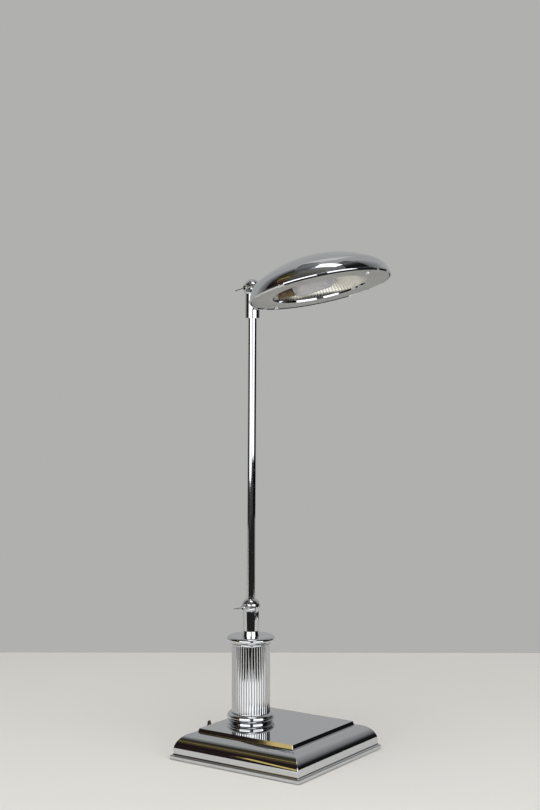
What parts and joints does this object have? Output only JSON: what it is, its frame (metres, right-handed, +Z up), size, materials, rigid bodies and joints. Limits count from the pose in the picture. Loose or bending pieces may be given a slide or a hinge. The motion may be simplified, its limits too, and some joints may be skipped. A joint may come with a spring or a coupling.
{
  "type": "desk lamp",
  "caption": "Chromed desk lamp with a square stepped base, a fluted column, a straight arm between clamped knuckles, and a shallow domed shade with a face ring, reflector and tubular bulb.",
  "frame": {"origin": "middle of the base's underside, on the table that the lamp stands on", "axes": "+Z up; the shade reaches out along -Y, which is the front; +X is to the lamp's left as it faces the user, and the clamp bars and the switch are on the -X side"},
  "size_m": [0.162, 0.2078, 0.5286],
  "materials": {
    "polished_chrome": "polished",
    "satin_nickel": "satin",
    "bright_steel": "polished",
    "bright_aluminium": "polished",
    "cast_ballast": "matte",
    "zinc_plate": "satin",
    "green_felt": "matte",
    "black_rubber": "matte",
    "black_phenolic": "gloss",
    "brown_phenolic": "satin",
    "plain_brass": "satin",
    "red_fibre": "matte",
    "lead_covering": "matte",
    "frosted_glass": "satin"
  },
  "bodies": {
    "base": {"base_shell": "polished_chrome", "top_plate": "polished_chrome", "ballast_weight": "cast_ballast", "bottom_cover": "zinc_plate", "cover_screws": "bright_steel", "felt_pad": "green_felt", "cord_bush": "black_rubber", "switch_body": "black_phenolic", "switch_nut": "bright_steel", "column_foot": "polished_chrome", "column_sleeve": "polished_chrome", "column_cap": "polished_chrome", "tie_tube": "plain_brass", "tie_washer": "bright_steel", "tie_nut": "bright_steel", "column_lead": "lead_covering", "neck": "polished_chrome", "stop_pin": "bright_steel", "swivel_screw": "bright_steel"},
    "switch": {"switch_spindle": "plain_brass", "switch_knob": "black_phenolic"},
    "swivel": {"lower_fork": "polished_chrome", "lower_friction_washers": "red_fibre"},
    "lower_clamp": {"lower_clamp_screw": "polished_chrome", "lower_clamp_bar": "polished_chrome"},
    "arm": {"lower_tang": "polished_chrome", "arm_tube": "polished_chrome", "arm_lead": "lead_covering", "upper_fork": "polished_chrome", "upper_friction_washers": "red_fibre"},
    "upper_clamp": {"upper_clamp_screw": "polished_chrome", "upper_clamp_bar": "polished_chrome"},
    "shade": {"upper_tang": "polished_chrome", "saddle_washer": "bright_steel", "stem_nut": "bright_steel", "shade_shell": "polished_chrome", "face_ring": "satin_nickel", "face_posts": "bright_steel", "face_screws": "bright_steel", "reflector": "bright_aluminium", "reflector_clips": "bright_steel", "holder_bracket": "bright_steel", "lampholder": "brown_phenolic", "bulb_cap": "plain_brass", "bulb_glass": "frosted_glass"}
  },
  "joints": [
    {"name": "switch_turn", "type": "hinge", "parent": "base", "child": "switch", "pos_m": [-0.033, 0.065, 0.027], "axis": [0, 0, 1], "range_deg": [0, 90]},
    {"name": "arm_swivel", "type": "hinge", "parent": "base", "child": "swivel", "pos_m": [0, 0.0338, 0.1282], "axis": [0, 0, 1], "range_deg": [-160, 160]},
    {"name": "lower_clamp_turn", "type": "hinge", "parent": "swivel", "child": "lower_clamp", "pos_m": [0, 0.0338, 0.1543], "axis": [-1, 0, 0], "range_deg": [0, 180]},
    {"name": "arm_tilt", "type": "hinge", "parent": "swivel", "child": "arm", "pos_m": [0, 0.0338, 0.1543], "axis": [1, 0, 0], "range_deg": [-85, 85]},
    {"name": "upper_clamp_turn", "type": "hinge", "parent": "arm", "child": "upper_clamp", "pos_m": [0, 0.03142, 0.49459], "axis": [-1, 0, 0], "range_deg": [0, 180]},
    {"name": "shade_tilt", "type": "hinge", "parent": "arm", "child": "shade", "pos_m": [0, 0.03142, 0.49459], "axis": [-1, 0, 0], "range_deg": [-10, 75]}
  ]
}
